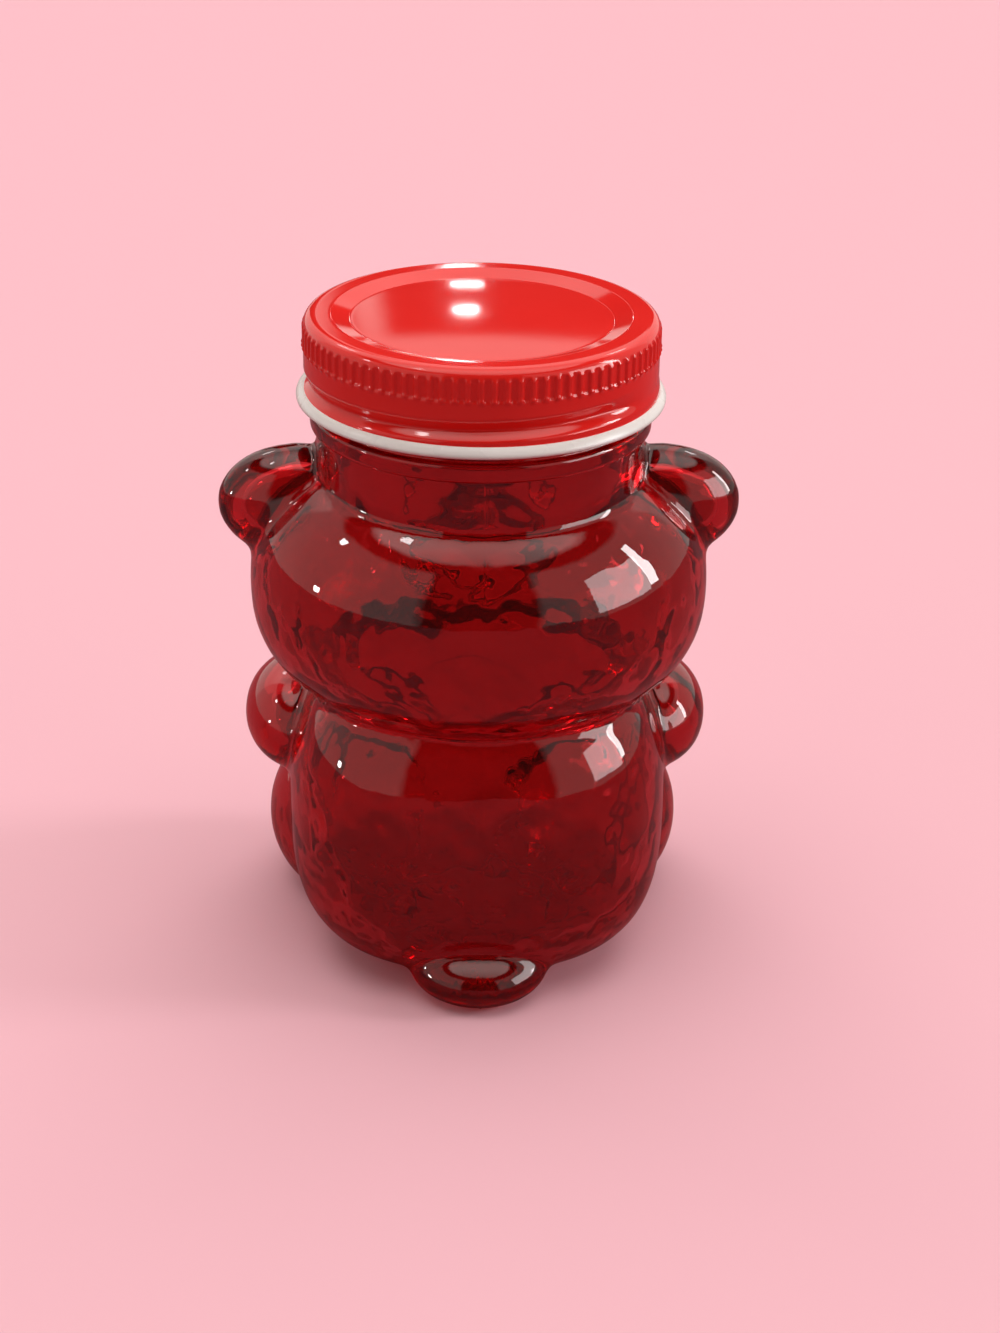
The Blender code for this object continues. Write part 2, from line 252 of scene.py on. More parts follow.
def revolved(name, radius, height):
    """A closed body of revolution from grids of radius and height, rows running down its outside.

    The first and last rows are single points on the axis.
    """
    radius = np.asarray(radius)
    height = np.asarray(height)
    rows, columns = radius.shape
    angle = 2 * math.pi * np.arange(columns) / columns
    points = np.empty((rows * columns + 2, 3))
    points[:-2, 0] = (radius * np.cos(angle)).ravel()
    points[:-2, 1] = (radius * np.sin(angle)).ravel()
    points[:-2, 2] = height.ravel()
    points[-2] = (0, 0, height[0].mean())
    points[-1] = (0, 0, height[-1].mean())
    index = np.arange(rows * columns).reshape(rows, columns)
    following = np.roll(index, -1, axis=1)
    quads = np.stack([index[:-1], index[1:], following[1:], following[:-1]], axis=-1).reshape(-1, 4)
    first = rows * columns
    last = first + 1
    faces = [tuple(quad) for quad in quads.tolist()]
    faces += [(first, int(index[0, j]), int(following[0, j])) for j in range(columns)]
    faces += [(last, int(following[-1, j]), int(index[-1, j])) for j in range(columns)]
    mesh = bpy.data.meshes.new(name)
    mesh.from_pydata(points.tolist(), [], faces)
    mesh.validate()
    return mesh


def arc(centre, radius, start, end, steps):
    """Points of an arc in the profile plane, its angles in degrees."""
    points = []
    for i in range(steps + 1):
        angle = math.radians(start + (end - start) * i / steps)
        points.append((centre[0] + radius * math.cos(angle), centre[1] + radius * math.sin(angle)))
    return points


def filled(profile, step):
    """The profile with points added, so that no stretch is longer than a step."""
    points = [profile[0]]
    for start, end in zip(profile, profile[1:]):
        length = math.dist(start, end)
        pieces = max(1, math.ceil(length / step))
        for i in range(1, pieces + 1):
            share = i / pieces
            points.append((start[0] + (end[0] - start[0]) * share, start[1] + (end[1] - start[1]) * share))
    return points


def grids(profile, columns):
    radius = np.repeat(np.array([[point[0]] for point in profile]), columns, axis=1)
    height = np.repeat(np.array([[point[1]] for point in profile]), columns, axis=1)
    return radius, height


# The bear


def squared_profile(radius, rise, drop, centre_z, squareness, steps=48):
    points = []
    for i in range(1, steps):
        angle = math.pi * i / steps
        across = math.sin(angle) ** (2 / squareness)
        along = abs(math.cos(angle)) ** (2 / squareness)
        height = rise * along if angle < math.pi / 2 else -drop * along
        points.append((radius * across, centre_z + height))
    return points


def head_share_at(height):
    reach = HEAD_RISE if height > HEAD_CENTRE_Z else HEAD_DROP
    share = min(1.0, abs(height - HEAD_CENTRE_Z) / reach)
    return (1 - share**HEAD_SQUARENESS) ** (1 / HEAD_SQUARENESS)


def face_y(x, z):
    """Where the front of the head lies, at a place seen from the front."""
    share = head_share_at(z)
    across = min(1.0, abs(x) / (HEAD_HALF_WIDTH * share))
    return -HEAD_FACE_DEPTH * share * math.sqrt(1 - across**2)


def bead_top():
    return LID_TOP - LID_SKIRT - CURL_RADIUS - BEAD_BELOW_LID


def neck_top():
    return bead_top() - BEAD_HEIGHT / 2


def bead_low():
    return bead_top() - BEAD_HEIGHT


def neck_foot():
    return HEAD_CENTRE_Z + HEAD_RISE / 2


def throat():
    return FINISH_RADIUS - WALL


def add_ellipsoid(form, centre, half, segments=64, rings=40):
    place = Matrix.Translation(centre) @ Matrix.Diagonal((*half, 1.0))
    made = bmesh.ops.create_uvsphere(form, u_segments=segments, v_segments=rings, radius=1.0, matrix=place)
    return made["verts"]


def add_turned(form, profile, half_width, back_depth, front_depth, plan_squareness=2.0):
    """A turned body, squared a little as seen from above, then drawn in along Y to its own depths."""
    part = revolved("turned_part", *grids(profile, AROUND // 2))
    for point in part.vertices:
        angle = math.atan2(point.co.y, point.co.x)
        power = abs(math.cos(angle)) ** plan_squareness + abs(math.sin(angle)) ** plan_squareness
        depth = back_depth if point.co.y > 0 else front_depth
        point.co.x *= power ** (-1 / plan_squareness)
        point.co.y *= power ** (-1 / plan_squareness) * depth / half_width
    form.from_mesh(part)
    bpy.data.meshes.remove(part)


def dish_ears(points):
    for point in points:
        x = abs(point.co.x) - EAR_CENTRE[0]
        z = point.co.z - EAR_CENTRE[2]
        if point.co.y < EAR_CENTRE[1]:
            point.co.y += EAR_DISH_DEPTH * math.exp(-(x**2 + z**2) / EAR_DISH_RADIUS**2)


def lobes():
    muzzle_y = face_y(0.0, MUZZLE_CENTRE_Z) + MUZZLE_SINK
    found = [
        (TAIL_CENTRE, TAIL_HALF),
        ((0.0, muzzle_y, MUZZLE_CENTRE_Z), MUZZLE_HALF),
        (TUMMY_CENTRE, TUMMY_HALF),
    ]
    for (x, y, z), half in [(EAR_CENTRE, EAR_HALF), (ARM_CENTRE, ARM_HALF), (LEG_CENTRE, LEG_HALF)]:
        found.append(((x, y, z), half))
        found.append(((-x, y, z), half))
    return found


def face_details():
    nose_z = MUZZLE_CENTRE_Z + NOSE_LIFT
    nose_y = face_y(0.0, MUZZLE_CENTRE_Z) + MUZZLE_SINK - MUZZLE_HALF[1] * NOSE_REACH
    eye_z = HEAD_CENTRE_Z + EYE_LIFT
    eye_y = face_y(EYE_SPREAD, eye_z)
    return [
        ((0.0, nose_y, nose_z), NOSE_HALF),
        ((EYE_SPREAD, eye_y, eye_z), EYE_HALF),
        ((-EYE_SPREAD, eye_y, eye_z), EYE_HALF),
    ]


def cut_below(form, height):
    """Cuts every body of a form off at a height and caps it there."""
    cut = bmesh.ops.bisect_plane(
        form,
        geom=form.verts[:] + form.edges[:] + form.faces[:],
        plane_co=(0, 0, height),
        plane_no=(0, 0, 1),
        clear_inner=True,
    )
    edges = [item for item in cut["geom_cut"] if isinstance(item, bmesh.types.BMEdge)]
    bmesh.ops.holes_fill(form, edges=edges, sides=0)


def weigh(made, name, weight):
    """A vertex group whose weights a function gives from the points."""
    points = np.empty(len(made.data.vertices) * 3, dtype=np.float32)
    made.data.vertices.foreach_get("co", points)
    weights = weight(points.reshape(-1, 3))
    group = made.vertex_groups.new(name=name)
    levels = np.round(weights * 20).astype(int)
    for level in np.unique(levels):
        group.add(np.flatnonzero(levels == level).tolist(), level / 20, "REPLACE")
    return group


def away_from_crease(points):
    """Keeps the crease at the foot of the neck sharper than the other blends."""
    reach = np.hypot(points[:, 0], points[:, 1])
    near = smoothstep(NECK_CREASE_LOW, NECK_CREASE_LOW + NECK_CREASE_FADE, points[:, 2])
    near = near * (1 - smoothstep(NECK_CREASE_TOP - NECK_CREASE_TOP_FADE, NECK_CREASE_TOP, points[:, 2]))
    near = near * (1 - smoothstep(NECK_CREASE_REACH - NECK_CREASE_FADE, NECK_CREASE_REACH, reach))
    return 1 - NECK_CREASE_KEPT * near


def below_mouth(points):
    """All the glass except the mouth, which a plunger forms true."""
    low = bead_low() - WAVES_FADE_BELOW_BEAD
    high = bead_low() + WAVES_FADE_ABOVE_BEAD
    return 1 - smoothstep(low, high, points[:, 2])


def near_base(points):
    """The inside of the foot, where the first gob of glass chills unevenly."""
    return 1 - smoothstep(CHILL_HEIGHT * 0.5, CHILL_HEIGHT, points[:, 2])


def moulded(name, wall, lobe_wall, floor, passes):
    """The bear as one moulded form, taken in by a wall, with soft blends."""
    form = bmesh.new()
    width = BODY_HALF_WIDTH - wall
    depth = BODY_HALF_DEPTH - wall
    body = squared_profile(width, BODY_RISE - wall, BODY_DROP - wall, BODY_CENTRE_Z, BODY_SQUARENESS)
    add_turned(form, body, width, depth, depth, BODY_PLAN_SQUARENESS)
    width = HEAD_HALF_WIDTH - wall
    head = squared_profile(width, HEAD_RISE - wall, HEAD_DROP - wall, HEAD_CENTRE_Z, HEAD_SQUARENESS)
    add_turned(form, head, width, HEAD_BACK_DEPTH - wall, HEAD_FACE_DEPTH - wall)
    if wall == 0:
        width = FINISH_RADIUS
        neck = [(width / 2, neck_top()), (width, neck_top()), (width, neck_foot()), (width / 2, neck_foot())]
        add_turned(form, neck, width, width, width)
    for centre, half in lobes():
        points = add_ellipsoid(form, centre, [side - lobe_wall for side in half])
        if half is EAR_HALF and lobe_wall == 0:
            dish_ears(points)
    cut_below(form, floor)
    mesh = bpy.data.meshes.new(name)
    form.to_mesh(mesh)
    form.free()
    made = link(name, mesh)
    remesh = made.modifiers.new("one skin", "REMESH")
    remesh.mode = "VOXEL"
    remesh.voxel_size = SKIN_VOXEL
    settle(made)
    weigh(made, "blends", away_from_crease)
    smooth = made.modifiers.new("moulded blends", "SMOOTH")
    smooth.factor = 0.5
    smooth.iterations = passes
    smooth.vertex_group = "blends"
    settle(made)
    return made


def ripple(made, size, strength, name, group=""):
    """The waves of a moulded glass surface."""
    waves = bpy.data.textures.new(name, "CLOUDS")
    waves.noise_scale = size
    waves.noise_depth = 1
    push = made.modifiers.new(name, "DISPLACE")
    push.texture = waves
    push.texture_coords = "LOCAL"
    push.strength = strength
    push.mid_level = 0.5
    push.vertex_group = group
    settle(made)


def dent_floor(cavity):
    """Short dents along the edge of the hollow's floor, each pressed into the glass."""
    form = bmesh.new()
    for ring, (radius, count) in enumerate(CHILL_RINGS):
        for i in range(count):
            turn = 2 * math.pi * (i + 0.37 * ring + 0.15 * math.sin(5 * i)) / count
            reach = radius + CHILL_WANDER * math.sin(3.7 * i + ring)
            start = Vector((reach * math.cos(turn), reach * math.sin(turn), BODY_CENTRE_Z))
            hit, place, normal, _ = cavity.ray_cast(start, Vector((0, 0, -1)))
            if not hit:
                continue
            along = Vector((-math.sin(turn), math.cos(turn), 0.0))
            along = (along - normal * along.dot(normal)).normalized()
            axes = Matrix((along, normal.cross(along), normal)).transposed().to_4x4()
            length = 0.7 + 0.3 * math.sin(2.3 * i)
            size = Matrix.Diagonal((CHILL_DENT[0] * length, CHILL_DENT[1], CHILL_DENT[2], 1.0))
            matrix = Matrix.Translation(place) @ axes @ size
            bmesh.ops.create_uvsphere(form, u_segments=24, v_segments=12, radius=1.0, matrix=matrix)
    mesh = bpy.data.meshes.new("dents")
    form.to_mesh(mesh)
    form.free()
    combine(cavity, link("dents", mesh), "UNION")


def raise_seam(made):
    """The fine line that the two halves of the mould leave, in the plane X = 0."""
    form = bmesh.new()
    form.from_mesh(made.data)
    for place in (-SEAM_HALF_WIDTH, 0.0, SEAM_HALF_WIDTH):
        bmesh.ops.bisect_plane(
            form,
            geom=form.verts[:] + form.edges[:] + form.faces[:],
            dist=1e-6,
            plane_co=(place, 0, 0),
            plane_no=(1, 0, 0),
        )
    form.normal_update()
    for point in form.verts:
        if abs(point.co.x) < SEAM_HALF_WIDTH / 20:
            point.co += point.normal * SEAM_HEIGHT
    form.to_mesh(made.data)
    form.free()


def run_out(along, length):
    """1 along a thread and fading to 0 at both its ends."""
    return smoothstep(0, THREAD_RUN_OUT, along) * (1 - smoothstep(length - THREAD_RUN_OUT, length, along))


def thread_rise(angle, height):
    """How high the right-hand thread of the glass stands, from 0 to 1, at each angle and height."""
    rise = np.zeros(np.broadcast(angle, height).shape)
    length = 2 * math.pi * THREAD_TURNS
    for whole in range(math.ceil(THREAD_TURNS) + 1):
        along = (angle - THREAD_START) % (2 * math.pi) + 2 * math.pi * whole
        inside = run_out(along, length)
        centre = THREAD_LOW + THREAD_LEAD * along / (2 * math.pi)
        across = np.clip(np.abs(height - centre) / (1.5 * THREAD_HALF_WIDTH), 0, 1)
        rise = np.maximum(rise, inside * (1 - across**3) ** 1.5)
    return rise


def groove_depth(angle, height):
    """How deep the thread rolled into the lid is, from 0 to 1: a long flank above, a short one below."""
    along = (angle - GROOVE_START) % (2 * math.pi)
    length = GROOVE_END - GROOVE_START
    inside = run_out(along, length)
    bottom = GROOVE_LOW + THREAD_LEAD * along / (2 * math.pi)
    flank = np.where(height > bottom, (height - bottom) / GROOVE_ABOVE, (bottom - height) / GROOVE_BELOW)
    flank = np.clip(1 - flank, 0, 1)
    return inside * (0.6 * flank + 0.4 * smoothstep(0, 1, flank))


def make_finish():
    """The mouth from the lip down to the underside of the bead, with its thread."""
    top = bead_top()
    low = bead_low()
    reach = FINISH_RADIUS + BEAD_REACH
    rounding = BEAD_REACH * 0.9
    profile = [
        (MOUTH_RADIUS * 0.5, JAR_HEIGHT),
        *arc((FINISH_RADIUS - LIP_ROUNDING, JAR_HEIGHT - LIP_ROUNDING), LIP_ROUNDING, 90, 0, 8),
        (FINISH_RADIUS, top + BEAD_FILLET),
        (FINISH_RADIUS + 0.0001, top),
        *arc((reach - rounding, top - rounding - 0.0002), rounding, 80, 0, 6),
        *arc((reach - rounding, low + rounding), rounding, 0, -70, 6),
        (FINISH_RADIUS - WALL / 4, low),
        (MOUTH_RADIUS * 0.5, low),
    ]
    profile = filled(profile, FINISH_STEP)
    radius, height = grids(profile, AROUND)
    angle = 2 * math.pi * np.arange(AROUND) / AROUND
    outside = radius > FINISH_RADIUS - 0.0002
    rise = thread_rise(angle[None, :], height)
    radius = radius + THREAD_HEIGHT * rise * outside
    return link("finish", revolved("finish", radius, height))


def make_bore():
    """The round hole through the finish and the neck, down into the head."""
    inner_lip = INNER_LIP_ROUNDING
    profile = [
        (throat() * 0.5, JAR_HEIGHT + WALL),
        (MOUTH_RADIUS + inner_lip * 1.5, JAR_HEIGHT + WALL),
        (MOUTH_RADIUS + inner_lip * 1.5, JAR_HEIGHT + 0.0002),
        *arc((MOUTH_RADIUS + inner_lip, JAR_HEIGHT - inner_lip), inner_lip, 90, 180, 6),
        (throat(), bead_low()),
        (throat(), neck_foot() + WALL),
        (throat() - WALL, neck_foot()),
        (throat() * 0.5, neck_foot()),
    ]
    return link("bore", revolved("bore", *grids(filled(profile, BORE_STEP), AROUND // 2)))


def make_base_cutter():
    """What lies below the base: the shallow push-up and the ring of small nicks on the bearing surface."""
    reach = 0.09
    middle = 0.002
    bottom = -0.02
    profile = [
        (middle, PUSH_UP_DEPTH),
        (PUSH_UP_RADIUS - 2 * PUSH_UP_DEPTH, PUSH_UP_DEPTH),
        (PUSH_UP_RADIUS - PUSH_UP_DEPTH * 0.9, PUSH_UP_DEPTH * 0.75),
        (PUSH_UP_RADIUS, 0.0),
        (STIPPLE_RADIUS + STIPPLE_LENGTH, 0.0),
    ]
    profile = filled(profile, BASE_STEP)
    profile += [(reach, 0.0), (reach, bottom), (middle, bottom)]
    columns = STIPPLE_COUNT * 8
    radius, height = grids(profile, columns)
    angle = 2 * math.pi * np.arange(columns) / columns
    nick = np.clip(np.cos(angle * STIPPLE_COUNT), 0, 1) ** 0.7
    along = np.clip(1 - ((radius - STIPPLE_RADIUS) / (STIPPLE_LENGTH / 2)) ** 2, 0, 1)
    height = height + np.where(height >= 0, STIPPLE_DEPTH * nick[None, :] * np.sqrt(along), 0)
    return link("below_base", revolved("below_base", radius, height))


def make_face():
    form = bmesh.new()
    for centre, half in face_details():
        add_ellipsoid(form, centre, half, 32, 20)
    mesh = bpy.data.meshes.new("face")
    form.to_mesh(mesh)
    form.free()
    return link("face", mesh)


def combine(target, cutter, operation):
    step = target.modifiers.new(cutter.name, "BOOLEAN")
    step.operation = operation
    step.solver = "MANIFOLD"
    step.object = cutter
    settle(target)
    bpy.data.objects.remove(cutter, do_unlink=True)


def make_jar():
    jar = moulded("ruby_bear_jar", 0.0, 0.0, -BASE_OVERSHOOT, SKIN_PASSES)
    ripple(jar, *OUTER_WAVES, "outer_waves")
    raise_seam(jar)
    cavity = moulded("cavity", WALL, LOBE_WALL, FLOOR_THICKNESS, 2 * SKIN_PASSES)
    combine(cavity, make_bore(), "UNION")
    weigh(cavity, "below the mouth", below_mouth)
    ripple(cavity, *INNER_SWELLS, "inner_swells", "below the mouth")
    ripple(cavity, *INNER_WAVES, "inner_waves", "below the mouth")
    weigh(cavity, "base", near_base)
    ripple(cavity, *CHILL_MARKS, "chill_marks", "base")
    dent_floor(cavity)
    combine(jar, make_face(), "UNION")
    combine(jar, make_finish(), "UNION")
    combine(jar, make_base_cutter(), "DIFFERENCE")
    combine(jar, cavity, "DIFFERENCE")
    return jar


# The lid


def lid_outside(angle):
    """Rows of the outside of the lid, from the middle of its panel to the rim of its skirt."""
    top = LID_TOP
    edge = top - LID_SKIRT
    panel = top - PANEL_DROP
    rows = []
    for i in range(1, PANEL_ROWS + 1):
        share = i / PANEL_ROWS
        rows.append((PANEL_RADIUS * share, panel + PANEL_CROWN * (1 - share**2)))
    rows += arc((PANEL_RADIUS + PANEL_MARGIN, panel + PANEL_FILLET), PANEL_FILLET, -90, -70, 3)
    rows += arc((STEP_RADIUS + STEP_MARGIN, top - STEP_ROUNDING), STEP_ROUNDING, 110, 90, 4)
    rows += arc((LID_RADIUS - LID_CORNER, top - LID_CORNER), LID_CORNER, 90, 0, 10)
    rows = filled(rows, LID_STEP)
    down = filled([(LID_RADIUS, top - LID_CORNER), (LID_RADIUS, edge + CURL_RADIUS)], SKIRT_STEP)
    rows += down[1:]
    radius, height = grids(rows, len(angle))
    depth = LID_TOP - height
    skirt = radius > LID_RADIUS - 0.0001
    rib = 0.5 + 0.5 * np.cos(angle * KNURL_COUNT)
    rib = smoothstep(0.35, 0.85, rib)[None, :]
    band = smoothstep(KNURL_TOP - KNURL_TOP_FADE, KNURL_TOP + KNURL_TOP_FADE, depth)
    end = smoothstep(KNURL_BOTTOM - KNURL_BOTTOM_FADE, KNURL_BOTTOM + KNURL_BOTTOM_FADE, depth)
    band = band * (1 - end)
    radius = radius + skirt * KNURL_RISE * (rib - KNURL_MEAN) * band
    bead = np.exp(-(((depth - KNURL_BOTTOM) / KNURL_BEAD_SPREAD) ** 2)) * rib
    radius = radius + skirt * KNURL_BEAD * bead
    radius = radius - skirt * GROOVE_DEPTH * groove_depth(angle[None, :], height)
    flare = smoothstep(LID_SKIRT - RIM_FLARE_HIGH, LID_SKIRT - RIM_FLARE_LOW, depth)
    radius = radius + skirt * RIM_FLARE * flare
    return radius, height


def make_lid():
    """The sheet of the lid, and how many of its rows lie on the outside."""
    angle = 2 * math.pi * np.arange(LID_AROUND) / LID_AROUND
    radius, height = lid_outside(angle)
    slope = np.gradient(height, axis=0)
    run = np.gradient(radius, axis=0)
    length = np.hypot(slope, run) + 1e-9
    inner_radius = radius + SHEET * slope / length
    inner_height = height - SHEET * run / length
    edge = LID_TOP - LID_SKIRT
    rolled = [(LID_RADIUS + reach, edge + rise) for reach, rise in CURL_SECTION]
    curl_radius, curl_height = grids(rolled, LID_AROUND)
    rows_outside = radius.shape[0]
    radius = np.concatenate([radius, curl_radius, inner_radius[::-1]])
    height = np.concatenate([height, curl_height, inner_height[::-1]])
    return link("screw_lid", revolved("lid", radius, height)), rows_outside


def make_seal():
    edge = SEAL_EDGE
    profile = [
        (SEAL_INNER, SEAL_LOW + edge),
        *arc((SEAL_INNER + edge, SEAL_TOP - edge), edge, 180, 90, 4),
        *arc((SEAL_OUTER - edge, SEAL_TOP - edge), edge, 90, 0, 4),
        *arc((SEAL_OUTER - edge, SEAL_LOW + edge), edge, 0, -90, 4),
        *arc((SEAL_INNER + edge, SEAL_LOW + edge), edge, -90, -180, 4),
    ]
    radius, height = grids(profile, AROUND)
    rows = len(profile)
    points = []
    for j in range(AROUND):
        turn = 2 * math.pi * j / AROUND
        for i in range(rows):
            points.append((radius[i, j] * math.cos(turn), radius[i, j] * math.sin(turn), height[i, j]))
    faces = []
    for j in range(AROUND):
        after = (j + 1) % AROUND
        for i in range(rows):
            below = (i + 1) % rows
            faces.append((j * rows + i, j * rows + below, after * rows + below, after * rows + i))
    mesh = bpy.data.meshes.new("seal")
    mesh.from_pydata(points, [], faces)
    mesh.validate()
    return link("sealing_ring", mesh)


# Materials


class Nodes:
    """A node tree, with short calls to add and join its nodes."""

    def __init__(self, tree):
        self.tree = tree

    def node(self, kind, **settings):
        made = self.tree.nodes.new(kind)
        for name, value in settings.items():
            setattr(made, name, value)
        return made

    def join(self, start, end):
        self.tree.links.new(start, end)

    def feed(self, socket, value):
        """Sets a socket to a number, or joins another node's output to it."""
        if isinstance(value, (int, float)):
            socket.default_value = value
        else:
            self.join(value, socket)

    def maths(self, operation, first, second=0.0):
        made = self.node("ShaderNodeMath", operation=operation)
        self.feed(made.inputs[0], first)
        self.feed(made.inputs[1], second)
        return made.outputs["Value"]

    def span(self, value, low, high, start=0.0, end=1.0):
        """Spreads a value from start..end over low..high."""
        made = self.node("ShaderNodeMapRange")
        made.inputs["From Min"].default_value = start
        made.inputs["From Max"].default_value = end
        made.inputs["To Min"].default_value = low
        made.inputs["To Max"].default_value = high
        self.join(value, made.inputs["Value"])
        return made.outputs["Result"]

    def mix(self, share, first, second):
        """A colour between two, where each is a node's output or three numbers."""
        made = self.node("ShaderNodeMix", data_type="RGBA")
        self.join(share, made.inputs["Factor"])
        for socket, colour in ((made.inputs[6], first), (made.inputs[7], second)):
            if isinstance(colour, tuple):
                socket.default_value = (*colour, 1.0)
            else:
                self.join(colour, socket)
        return made.outputs[2]


class Shader(Nodes):
    """A material's node tree round its Principled BSDF."""

    def __init__(self, name):
        self.material = bpy.data.materials.new(name)
        self.material.use_nodes = True
        super().__init__(self.material.node_tree)
        self.base = self.tree.nodes["Principled BSDF"]
        self.output = self.tree.nodes["Material Output"]

    def noise(self, scale, detail):
        made = self.node("ShaderNodeTexNoise")
        made.inputs["Scale"].default_value = scale
        made.inputs["Detail"].default_value = detail
        self.join(self.node("ShaderNodeTexCoord").outputs["Object"], made.inputs["Vector"])
        return made.outputs["Fac"]

    def ramp(self, value, stops):
        made = self.node("ShaderNodeValToRGB")
        elements = made.color_ramp.elements
        while len(elements) < len(stops):
            elements.new(0.5)
        for element, (position, colour) in zip(elements, stops):
            element.position = position
            element.color = (*colour, 1.0)
        self.join(value, made.inputs["Fac"])
        return made.outputs["Color"]

    def bump(self, value, strength, distance, normal=None):
        made = self.node("ShaderNodeBump")
        made.inputs["Strength"].default_value = strength
        made.inputs["Distance"].default_value = distance
        self.join(value, made.inputs["Height"])
        if normal is not None:
            self.join(normal, made.inputs["Normal"])
        return made.outputs["Normal"]


def ruby_glass():
    shader = Shader("ruby_glass_finish")
    base = shader.base
    base.inputs["Transmission Weight"].default_value = 1.0
    base.inputs["IOR"].default_value = 1.52
    tint = shader.ramp(shader.noise(60, 2), [(0.35, (0.56, 0.068, 0.074)), (0.65, (0.64, 0.094, 0.098))])
    shader.join(tint, base.inputs["Base Color"])
    shader.join(shader.span(shader.noise(240, 3), 0.0, 0.03), base.inputs["Roughness"])
    wave = shader.bump(shader.noise(190, 1), 0.10, 0.0004)
    fine = shader.bump(shader.noise(900, 2), 0.05, 0.0001, wave)
    shader.join(fine, base.inputs["Normal"])
    absorption = shader.node("ShaderNodeVolumeAbsorption")
    absorption.inputs["Color"].default_value = (0.92, 0.10, 0.22, 1.0)
    absorption.inputs["Density"].default_value = 150.0
    shader.join(absorption.outputs["Volume"], shader.output.inputs["Volume"])
    return shader.material


def lid_enamel():
    shader = Shader("lid_enamel_finish")
    base = shader.base
    colour = shader.ramp(shader.noise(35, 3), [(0.3, (0.87, 0.018, 0.014)), (0.7, (0.92, 0.023, 0.018))])
    shader.join(colour, base.inputs["Base Color"])
    shader.join(shader.span(shader.noise(120, 4), 0.055, 0.085), base.inputs["Roughness"])
    peel = shader.bump(shader.noise(420, 2), 0.03, 0.0001)
    shader.join(peel, base.inputs["Normal"])
    return shader.material


def lid_lining():
    shader = Shader("lid_lining_finish")
    base = shader.base
    colour = shader.ramp(shader.noise(90, 3), [(0.3, (0.92, 0.91, 0.88)), (0.7, (0.96, 0.95, 0.92))])
    shader.join(colour, base.inputs["Base Color"])
    shader.join(shader.span(shader.noise(200, 3), 0.22, 0.34), base.inputs["Roughness"])
    return shader.material


def seal_compound():
    shader = Shader("seal_compound_finish")
    base = shader.base
    colour = shader.ramp(shader.noise(300, 3), [(0.3, (0.76, 0.74, 0.66)), (0.7, (0.84, 0.82, 0.75))])
    shader.join(colour, base.inputs["Base Color"])
    shader.join(shader.span(shader.noise(500, 3), 0.45, 0.65), base.inputs["Roughness"])
    shader.join(shader.bump(shader.noise(1200, 3), 0.2, 0.0001), base.inputs["Normal"])
    return shader.material


# The studio

# The floor's colour to the camera; through the glass, a darker copy lit by lamplight (painted shade) plus a
# painted glow there; and to all else, a darker copy (painted shade)
FLOOR_PINK = (0.93, 0.515, 0.595)
FLOOR_SHADED_THROUGH = (0.38, 0.21, 0.235)
FLOOR_PAINTED_GLOW = (0.20, 0.105, 0.12)
FLOOR_SHADE = (0.36, 0.12, 0.14)
FLOOR_RADIUS = 3.0
FLOOR_GAP = 0.0003

# The room round the table, as the glass and the lid mirror it: brightness and edges in degrees
ROOM_WHITE = (1.0, 0.955, 0.90)
LEFT_WALL = 0.66
RIGHT_WALL = 0.62
FAR_WALL = 0.95
FAR_WALL_HIGH = 1.5
CEILING_FAR = 0.95
CEILING_TOP = 2.2
CEILING_NEAR = 0.9
UNLIT = 0.03
ROOM_THROUGH = 0.6
WALL_GAP = 28
WALL_END = 128
FAR_WALL_RISE = 28
FAR_WALL_FULL = 42
WALL_TOP = 45
WALL_BLEND = 0.1
CEILING_EDGE = 56
# Where the ceiling brightens and dims on its way towards the camera, as the Y of a direction
CEILING_RISE = (-0.5, -0.1)
CEILING_FALL = (0.2, 0.56)
DOORWAY_LEFT = 178.45
DOORWAY_RIGHT = 197
DOORWAY_LOW = 7
DOORWAY_TOP = 21
ALCOVE_LEFT = 166
ALCOVE_RIGHT = 177.3
ALCOVE_LOW = 4
ALCOVE_TOP = 32


def make_floor():
    form = bmesh.new()
    bmesh.ops.create_circle(form, cap_ends=True, radius=FLOOR_RADIUS, segments=96)
    mesh = bpy.data.meshes.new("floor")
    form.to_mesh(mesh)
    form.free()
    floor = link("floor", mesh)
    floor.location.z = -FLOOR_GAP
    shader = Shader("floor_paper")
    path = shader.node("ShaderNodeLightPath")
    # Painted shade: rays through the glass and all other rays see a darker copy of the floor's pink
    unseen = shader.mix(path.outputs["Is Transmission Ray"], FLOOR_SHADE, FLOOR_SHADED_THROUGH)
    colour = shader.mix(path.outputs["Is Camera Ray"], unseen, FLOOR_PINK)
    shader.join(colour, shader.base.inputs["Base Color"])
    # Painted light: the floor glows to rays through the glass, in place of the light the glass bends onto it
    shader.base.inputs["Emission Color"].default_value = (*FLOOR_PAINTED_GLOW, 1.0)
    shader.join(path.outputs["Is Transmission Ray"], shader.base.inputs["Emission Strength"])
    shader.base.inputs["Roughness"].default_value = 0.9
    shader.base.inputs["Specular IOR Level"].default_value = 0.0
    shader.material.cycles.emission_sampling = "NONE"
    mesh.materials.append(shader.material)


